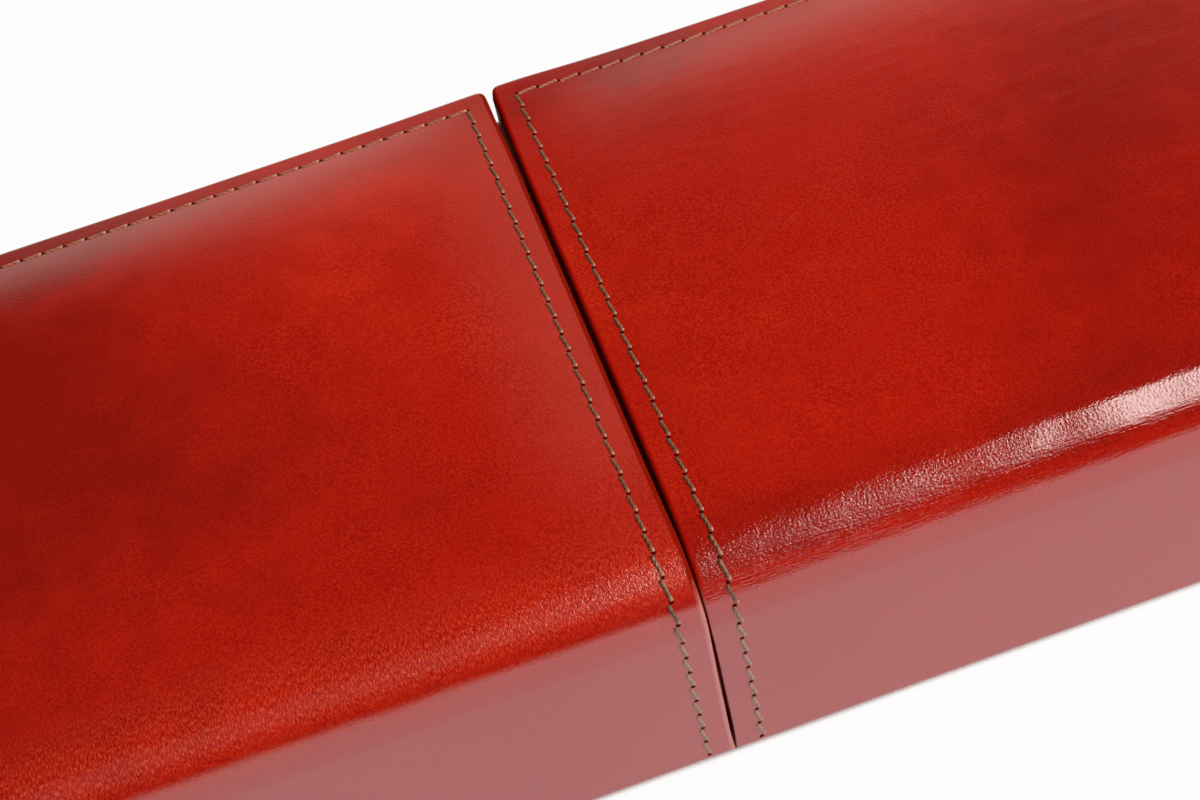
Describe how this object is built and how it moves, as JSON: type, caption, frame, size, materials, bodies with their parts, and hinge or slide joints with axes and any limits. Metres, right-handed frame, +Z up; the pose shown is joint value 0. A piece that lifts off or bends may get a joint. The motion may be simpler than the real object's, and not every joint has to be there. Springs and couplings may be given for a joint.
{
  "type": "fountain pen case",
  "caption": "Rigid stitched leather case for fountain pens, with a pull-off cap that slides over a lined sleeve with divided pen slots.",
  "frame": {"origin": "middle of the underside of the closed case", "axes": "+X along the case from cap to base, +Y across it towards the lapped seam, +Z up"},
  "size_m": [0.17, 0.076, 0.029],
  "materials": {
    "red_leather": "glossy hand-stained calf",
    "thread": "waxed linen thread",
    "board": "matt fibreboard",
    "facing_leather": "smooth thin leather",
    "dark_leather": "smooth dark red leather",
    "suede": "natural suede"
  },
  "bodies": {
    "base": {"base_upper_panel": "red_leather", "base_lower_panel": "red_leather", "base_end_panel": "red_leather", "base_upper_board": "board", "base_lower_board": "board", "base_mouth_facing": "facing_leather", "base_end_board": "board", "base_floor_lining": "suede", "base_mouth_thread": "thread", "base_end_thread": "thread", "base_seam_thread": "thread", "sleeve_cover": "dark_leather", "sleeve_board": "board", "sleeve_lining": "suede", "pen_divider_near": "suede", "pen_divider_far": "suede"},
    "cap": {"cap_upper_panel": "red_leather", "cap_lower_panel": "red_leather", "cap_end_panel": "red_leather", "cap_upper_board": "board", "cap_lower_board": "board", "cap_mouth_facing": "facing_leather", "cap_end_board": "board", "cap_floor_lining": "suede", "cap_mouth_thread": "thread", "cap_end_thread": "thread", "cap_seam_thread": "thread", "cap_liner": "board", "cap_lining": "suede"}
  },
  "joints": [
    {"name": "cap_slide", "type": "slide", "parent": "base", "child": "cap", "axis": [-1, 0, 0], "range_m": [0, 0.06]}
  ]
}
